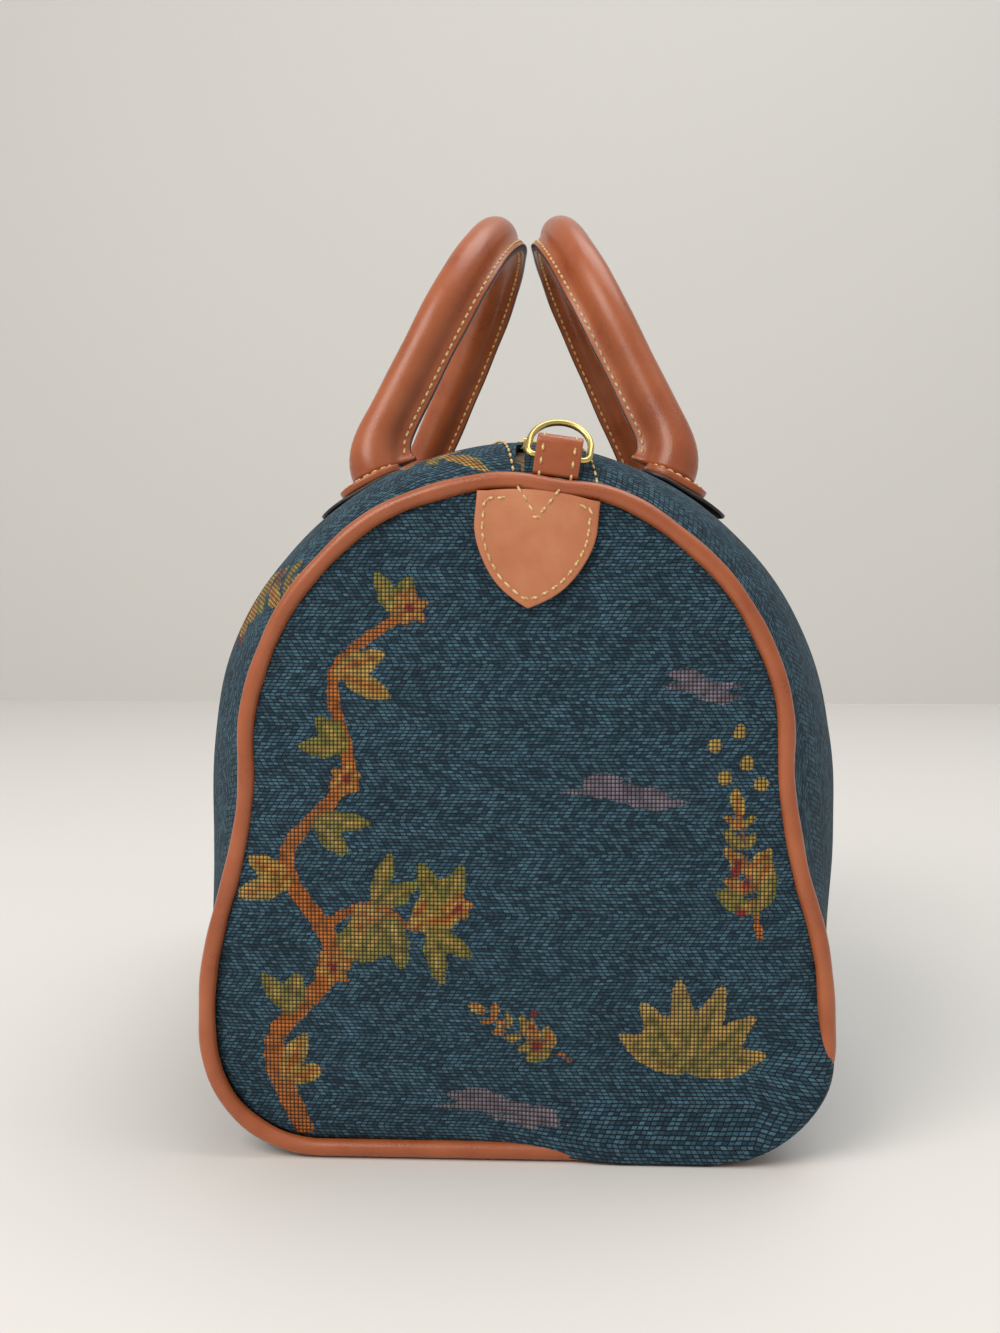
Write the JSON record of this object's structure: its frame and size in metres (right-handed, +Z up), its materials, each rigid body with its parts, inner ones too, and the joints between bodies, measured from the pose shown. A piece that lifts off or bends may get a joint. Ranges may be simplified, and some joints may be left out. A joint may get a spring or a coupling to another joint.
{
  "type": "barrel handbag",
  "caption": "Small barrel-shaped handbag in woven denim cloth with leather piping, two rolled top handles, a zip and strap rings.",
  "frame": {"origin": "middle of the bag's outline on the surface that it stands on", "axes": "+Z up, +Y along the bag towards the far end, +X across it to the right as the near end is seen"},
  "size_m": [0.2098, 0.3008, 0.3038],
  "materials": {
    "denim_cloth": "woven jacquard",
    "lining_cloth": "plain woven",
    "tan_leather": "smooth, satin",
    "tab_leather": "smooth, satin",
    "black_leather": "satin",
    "zip_tape": "woven",
    "brass": "polished",
    "filler_cord": "twisted cotton"
  },
  "bodies": {
    "bag": {"body_panel": "denim_cloth", "lining": "lining_cloth", "zip_tape_left": "zip_tape", "zip_tape_right": "zip_tape", "zip_teeth_left": "brass", "zip_teeth_right": "brass", "zip_top_stops": "brass", "zip_bottom_stop": "brass", "end_panel_near": "denim_cloth", "piping_near": "tan_leather", "piping_core_near": "filler_cord", "end_tab_near": "tab_leather", "ring_loop_near": "tan_leather", "end_panel_far": "denim_cloth", "piping_far": "tan_leather", "piping_core_far": "filler_cord", "end_tab_far": "tab_leather", "ring_loop_far": "tan_leather", "handle_tab_left_near": "tan_leather", "handle_patch_left_near": "black_leather", "handle_tab_left_far": "tan_leather", "handle_patch_left_far": "black_leather", "handle_tab_right_near": "tan_leather", "handle_patch_right_near": "black_leather", "handle_tab_right_far": "tan_leather", "handle_patch_right_far": "black_leather"},
    "handle_left": {"handle_cover_left": "tan_leather", "handle_core_left": "filler_cord"},
    "handle_right": {"handle_cover_right": "tan_leather", "handle_core_right": "filler_cord"},
    "zip_slider": {"zip_slider": "brass"},
    "zip_pull": {"zip_pull": "brass"},
    "strap_ring_near": {"strap_ring_near": "brass"},
    "strap_ring_far": {"strap_ring_far": "brass"}
  },
  "joints": [
    {"name": "handle_left_swing", "type": "hinge", "parent": "bag", "child": "handle_left", "pos_m": [-0.05187, 0, 0.21046], "axis": [0, -1, 0], "range_deg": [0, 130]},
    {"name": "handle_right_swing", "type": "hinge", "parent": "bag", "child": "handle_right", "pos_m": [0.05187, 0, 0.21046], "axis": [0, 1, 0], "range_deg": [0, 130]},
    {"name": "zip_run", "type": "slide", "parent": "bag", "child": "zip_slider", "axis": [0, 1, 0], "range_m": [0, 0.1902]},
    {"name": "zip_pull_swing", "type": "hinge", "parent": "zip_slider", "child": "zip_pull", "pos_m": [0.0025, -0.0951, 0.2119], "axis": [1, 0, 0], "range_deg": [0, 170]},
    {"name": "strap_ring_near_swing", "type": "hinge", "parent": "bag", "child": "strap_ring_near", "pos_m": [0.01223, -0.14085, 0.20322], "axis": [0.9896, 0, -0.1438], "range_deg": [0, 130]},
    {"name": "strap_ring_far_swing", "type": "hinge", "parent": "bag", "child": "strap_ring_far", "pos_m": [0.00266, 0.14085, 0.20406], "axis": [-0.9995, 0, 0.0312], "range_deg": [0, 130]}
  ]
}
